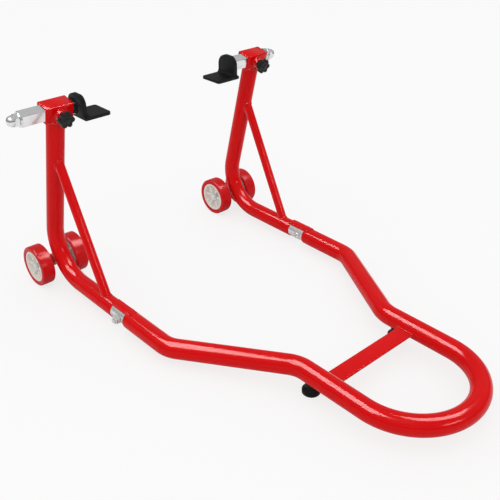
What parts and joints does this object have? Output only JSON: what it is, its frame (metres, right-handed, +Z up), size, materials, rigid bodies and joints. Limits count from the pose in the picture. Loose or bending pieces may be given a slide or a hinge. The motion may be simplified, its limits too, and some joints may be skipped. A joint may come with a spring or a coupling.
{
  "type": "paddock stand",
  "caption": "Wheeled tubular stand with a loop handle, two braced uprights and sliding, swivelling rubber support pads that lift the rear of a motorcycle.",
  "frame": {"origin": "on the floor, at the middle of the bounding box's footprint", "axes": "+Z up, +Y from the loop handle towards the wheels, +X from the left arm to the right arm as seen from the handle"},
  "size_m": [0.5544, 0.792, 0.3586],
  "materials": {
    "red_coat": "gloss red powder coat over welded steel tube",
    "zinc": "bright zinc plated steel",
    "chrome": "polished chrome plate",
    "tyre_red": "solid red polyurethane tread, satin",
    "hub_plastic": "moulded cream nylon",
    "foot_rubber": "matt black rubber",
    "pad_rubber": "matt black rubber with fine upright ribs",
    "knob_plastic": "black glass-filled plastic",
    "plate_steel": "plain steel plate, hidden under the rubber cover"
  },
  "bodies": {
    "frame": {"handle_tube": "red_coat", "crossbar": "red_coat", "arm_left": "red_coat", "brace_left": "red_coat", "axle_housing_left": "red_coat", "joint_key_left": "red_coat", "sleeve_left": "red_coat", "clamp_boss_left": "red_coat", "foot_left": "foot_rubber", "foot_screw_left": "zinc", "connector_left": "zinc", "joint_bolt_left": "zinc", "joint_nut_left": "zinc", "axle_left": "zinc", "axle_washer_left_outer": "zinc", "axle_nut_left_outer": "zinc", "axle_washer_left_inner": "zinc", "axle_nut_left_inner": "zinc", "arm_right": "red_coat", "brace_right": "red_coat", "axle_housing_right": "red_coat", "joint_key_right": "red_coat", "sleeve_right": "red_coat", "clamp_boss_right": "red_coat", "foot_right": "foot_rubber", "foot_screw_right": "zinc", "connector_right": "zinc", "joint_bolt_right": "zinc", "joint_nut_right": "zinc", "axle_right": "zinc", "axle_washer_right_outer": "zinc", "axle_nut_right_outer": "zinc", "axle_washer_right_inner": "zinc", "axle_nut_right_inner": "zinc"},
    "wheel_left_outer": {"tyre_left_outer": "tyre_red", "hub_left_outer": "hub_plastic"},
    "wheel_left_inner": {"tyre_left_inner": "tyre_red", "hub_left_inner": "hub_plastic"},
    "adapter_left": {"adapter_tube_left": "chrome", "adapter_flange_left": "chrome", "adapter_nut_left": "chrome", "adapter_bolt_left": "zinc"},
    "pad_left": {"pad_plate_left": "plate_steel", "pad_cover_left": "pad_rubber"},
    "stud_left": {"clamp_stud_left": "zinc"},
    "knob_left": {"clamp_knob_left": "knob_plastic"},
    "wheel_right_outer": {"tyre_right_outer": "tyre_red", "hub_right_outer": "hub_plastic"},
    "wheel_right_inner": {"tyre_right_inner": "tyre_red", "hub_right_inner": "hub_plastic"},
    "adapter_right": {"adapter_tube_right": "chrome", "adapter_flange_right": "chrome", "adapter_nut_right": "chrome", "adapter_bolt_right": "zinc"},
    "pad_right": {"pad_plate_right": "plate_steel", "pad_cover_right": "pad_rubber"},
    "stud_right": {"clamp_stud_right": "zinc"},
    "knob_right": {"clamp_knob_right": "knob_plastic"}
  },
  "joints": [
    {"name": "wheel_left_outer_spin", "type": "hinge", "parent": "frame", "child": "wheel_left_outer", "pos_m": [-0.22825, 0.359, 0.037], "axis": [1, 0, 0], "continuous": true},
    {"name": "wheel_left_inner_spin", "type": "hinge", "parent": "frame", "child": "wheel_left_inner", "pos_m": [-0.16025, 0.359, 0.037], "axis": [1, 0, 0], "continuous": true},
    {"name": "wheel_right_outer_spin", "type": "hinge", "parent": "frame", "child": "wheel_right_outer", "pos_m": [0.25575, 0.359, 0.037], "axis": [1, 0, 0], "continuous": true},
    {"name": "wheel_right_inner_spin", "type": "hinge", "parent": "frame", "child": "wheel_right_inner", "pos_m": [0.18775, 0.359, 0.037], "axis": [1, 0, 0], "continuous": true},
    {"name": "adapter_left_slide", "type": "slide", "parent": "frame", "child": "adapter_left", "axis": [1, 0, 0], "range_m": [-0.008, 0.0373]},
    {"name": "pad_left_swivel", "type": "hinge", "parent": "adapter_left", "child": "pad_left", "pos_m": [-0.16175, 0.28488, 0.33862], "axis": [1, 0, 0], "continuous": true},
    {"name": "adapter_right_slide", "type": "slide", "parent": "frame", "child": "adapter_right", "axis": [-1, 0, 0], "range_m": [-0.0355, 0.0098]},
    {"name": "pad_right_swivel", "type": "hinge", "parent": "adapter_right", "child": "pad_right", "pos_m": [0.16175, 0.28488, 0.33862], "axis": [1, 0, 0], "continuous": true},
    {"name": "stud_left_slide", "type": "slide", "parent": "frame", "child": "stud_left", "axis": [0, -0.9681, -0.2504], "range_m": [0, 0.005]},
    {"name": "knob_left_turn", "type": "hinge", "parent": "stud_left", "child": "knob_left", "pos_m": [-0.19425, 0.28488, 0.33862], "axis": [0, -0.9681, -0.2504], "range_deg": [0, 1440]},
    {"name": "stud_right_slide", "type": "slide", "parent": "frame", "child": "stud_right", "axis": [0, -0.9681, -0.2504], "range_m": [0, 0.005]},
    {"name": "knob_right_turn", "type": "hinge", "parent": "stud_right", "child": "knob_right", "pos_m": [0.22175, 0.28488, 0.33862], "axis": [0, -0.9681, -0.2504], "range_deg": [0, 1440]}
  ],
  "couplings": [
    {"joint": "knob_left_turn", "follows": "stud_left_slide", "rad_per_m": 5026.5},
    {"joint": "knob_right_turn", "follows": "stud_right_slide", "rad_per_m": 5026.5}
  ]
}
